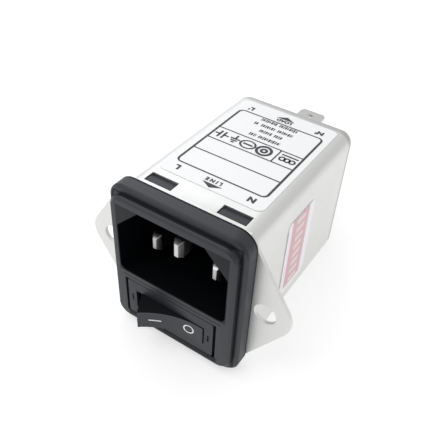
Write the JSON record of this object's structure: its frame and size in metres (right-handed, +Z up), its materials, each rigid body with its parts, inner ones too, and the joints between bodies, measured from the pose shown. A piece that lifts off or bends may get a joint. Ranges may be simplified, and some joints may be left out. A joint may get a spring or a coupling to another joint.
{
  "type": "power inlet filter",
  "caption": "EMI line filter in a drawn steel can with fixing ears: an appliance inlet with flat pins, a rocker switch in its front, and push-on tabs at the rear.",
  "frame": {"origin": "centre of the mounting plane (the front face of the ears), midway between the two ear holes", "axes": "+X to the right seen from the front, +Y into the can, away from the inlet, +Z up, with the inlet above the switch"},
  "size_m": [0.0466, 0.062, 0.0356],
  "materials": {
    "plated_steel": "satin",
    "nickel_plate": "satin",
    "housing_plastic": "satin",
    "switch_plastic": "satin",
    "rocker_plastic": "satin",
    "brass_strip": "satin",
    "copper_strip": "satin",
    "spring_wire": "satin",
    "glass_epoxy": "matte",
    "insulating_card": "matte",
    "ferrite": "matte",
    "divider_plastic": "matte",
    "winding_copper": "satin",
    "film_capacitor": "satin",
    "resistor_body": "satin",
    "disc_ceramic": "satin",
    "line_insulation": "satin",
    "neutral_insulation": "satin",
    "earth_insulation": "satin",
    "label_white": "satin",
    "label_red": "satin"
  },
  "bodies": {
    "filter": {"can": "plated_steel", "inlet_housing": "housing_plastic", "line_pin": "nickel_plate", "neutral_pin": "nickel_plate", "earth_pin": "nickel_plate", "switch_body": "switch_plastic", "switch_base": "switch_plastic", "common_terminal_line": "brass_strip", "common_terminal_neutral": "brass_strip", "contact_terminal_line": "brass_strip", "contact_terminal_neutral": "brass_strip", "circuit_board": "glass_epoxy", "insulating_sleeve": "insulating_card", "choke_core": "ferrite", "choke_divider": "divider_plastic", "winding_line": "winding_copper", "winding_neutral": "winding_copper", "x_capacitor": "film_capacitor", "bleed_resistor": "resistor_body", "y_capacitor_line": "disc_ceramic", "y_capacitor_neutral": "disc_ceramic", "link_line": "winding_copper", "link_neutral": "winding_copper", "load_lead_line": "line_insulation", "load_lead_neutral": "neutral_insulation", "earth_lead": "earth_insulation", "load_bushing_line": "housing_plastic", "load_bushing_neutral": "housing_plastic", "load_tab_line": "nickel_plate", "load_tab_neutral": "nickel_plate", "earth_tab": "nickel_plate", "earth_rivet": "nickel_plate", "rating_label": "label_white", "side_label": "label_red"},
    "rocker": {"rocker": "rocker_plastic", "plunger_line": "brass_strip", "plunger_neutral": "brass_strip", "spring_line": "spring_wire", "spring_neutral": "spring_wire"},
    "contact_blades": {"blade_line": "copper_strip", "blade_neutral": "copper_strip"}
  },
  "joints": [
    {"name": "rocker_pivot", "type": "hinge", "parent": "filter", "child": "rocker", "pos_m": [-0.00035, -0.00162, -0.0091], "axis": [0, 0, -1], "range_deg": [0, 36]},
    {"name": "blade_rock", "type": "hinge", "parent": "filter", "child": "contact_blades", "pos_m": [-0.00035, 0.00478, -0.0091], "axis": [0, 0, 1], "range_deg": [0, 16.1]}
  ],
  "couplings": [
    {"joint": "blade_rock", "follows": "rocker_pivot", "ratio": 0.44444}
  ]
}
